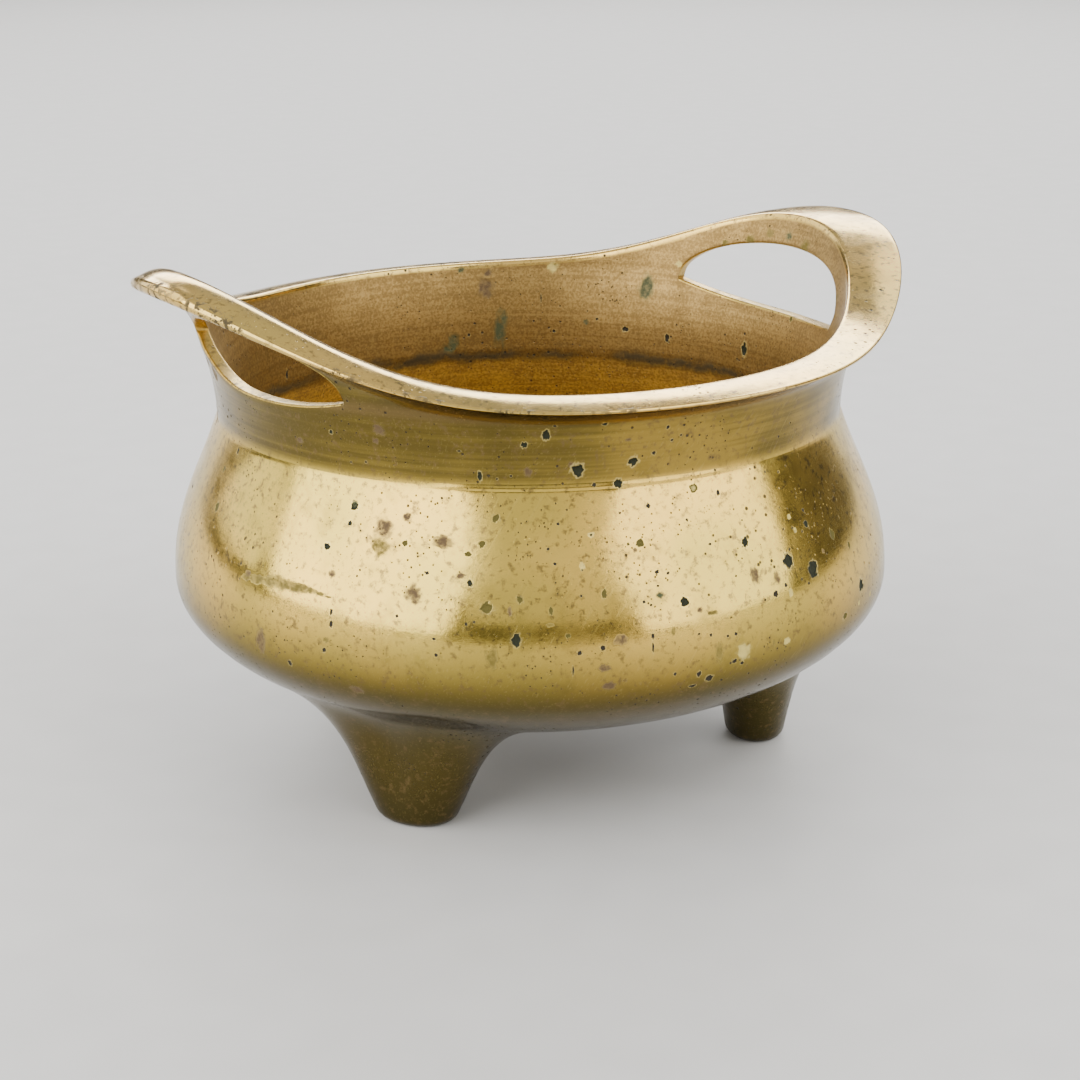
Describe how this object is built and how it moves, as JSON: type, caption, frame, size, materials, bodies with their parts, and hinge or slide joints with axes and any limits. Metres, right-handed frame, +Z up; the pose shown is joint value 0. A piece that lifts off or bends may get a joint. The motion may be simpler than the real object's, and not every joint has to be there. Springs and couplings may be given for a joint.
{
  "type": "incense burner",
  "caption": "Low round footed bowl with a full belly, a narrow shoulder, a wide flat lip that sweeps up into looped handles, and short oval feet.",
  "frame": {"origin": "on the floor, below the middle of the burner's outer box, which is within 1 mm of the bowl's axis", "axes": "+Z up along the bowl's axis, +X through the middle of the right handle, +Y towards the back foot"},
  "size_m": [0.168, 0.15, 0.1103],
  "materials": {
    "aged_brass": "polished cast brass, aged, with small casting pits, olive stains and a duller interior"
  },
  "bodies": {
    "root": {"censer": "aged_brass"}
  },
  "joints": []
}
